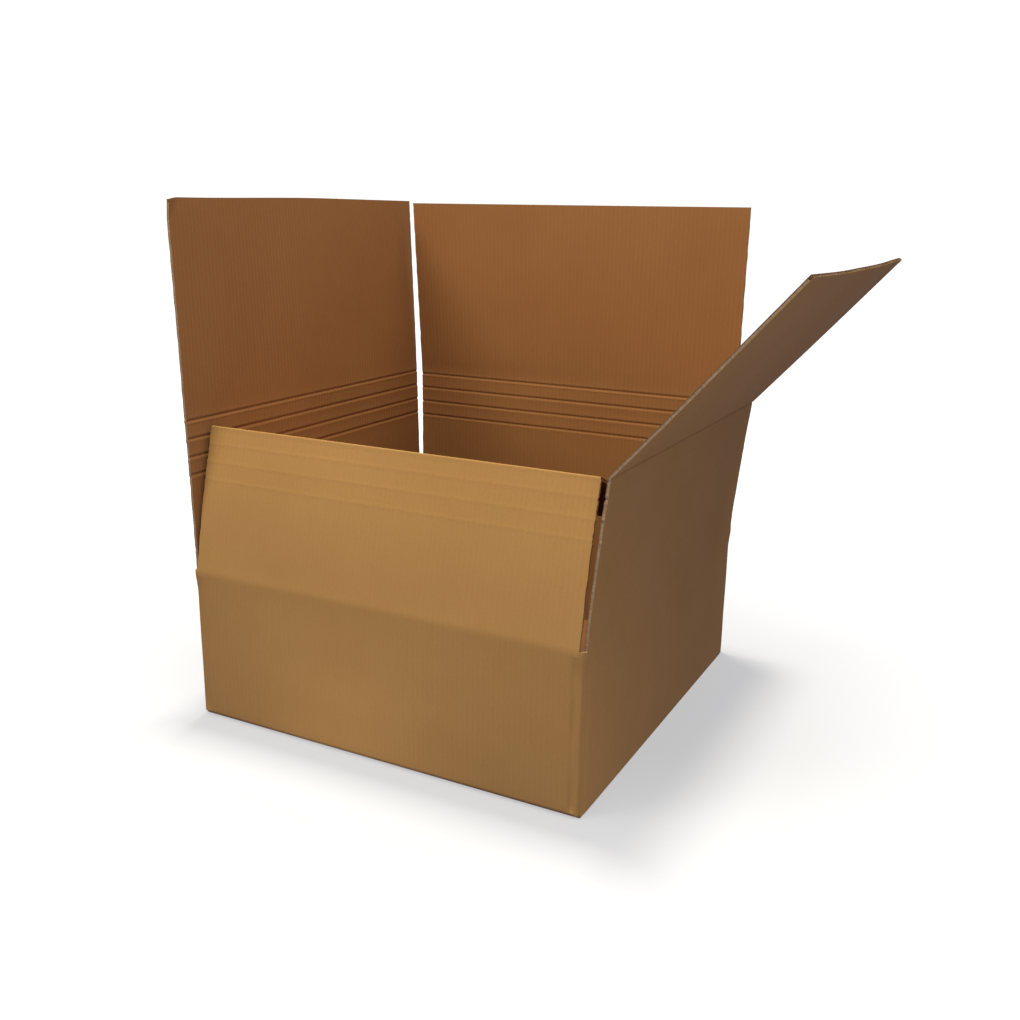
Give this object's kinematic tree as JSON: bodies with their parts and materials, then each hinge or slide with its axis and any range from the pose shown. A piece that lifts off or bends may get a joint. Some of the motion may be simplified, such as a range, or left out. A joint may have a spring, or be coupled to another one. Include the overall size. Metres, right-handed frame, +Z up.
{
  "type": "open cardboard box",
  "caption": "Open corrugated shipping box with a square base, slotted corners, pressed depth creases, a front panel folded inward and hinged top flaps.",
  "frame": {"origin": "middle of the base, on the floor", "axes": "+Z up, -Y to the front with the folded panel, +X to the right"},
  "size_m": [0.8334, 0.6052, 0.7278],
  "materials": {
    "outer_liner": "matt kraft paper",
    "inner_liner": "matt kraft paper"
  },
  "bodies": {
    "box": {"box_body": "outer_liner"},
    "front_panel": {"front_panel": "outer_liner"},
    "front_flap": {"front_flap": "inner_liner"},
    "right_flap": {"right_flap": "inner_liner"},
    "back_flap": {"back_flap": "inner_liner"},
    "left_flap": {"left_flap": "inner_liner"}
  },
  "joints": [
    {"name": "front_panel_fold", "type": "hinge", "parent": "box", "child": "front_panel", "pos_m": [0, -0.3, 0.22], "axis": [-1, 0, 0], "range_deg": [-73, 30]},
    {"name": "front_flap_fold", "type": "hinge", "parent": "front_panel", "child": "front_flap", "pos_m": [0, -0.25377, 0.42023], "axis": [-1, 0, 0], "range_deg": [-178, 8]},
    {"name": "right_flap_fold", "type": "hinge", "parent": "box", "child": "right_flap", "pos_m": [0.31986, 0, 0.429], "axis": [0, -1, 0], "range_deg": [-135, 125]},
    {"name": "back_flap_fold", "type": "hinge", "parent": "box", "child": "back_flap", "pos_m": [0, 0.3, 0.4255], "axis": [1, 0, 0], "range_deg": [-169, 91]},
    {"name": "left_flap_fold", "type": "hinge", "parent": "box", "child": "left_flap", "pos_m": [-0.30497, 0, 0.42994], "axis": [0, 1, 0], "range_deg": [-169, 91]}
  ]
}
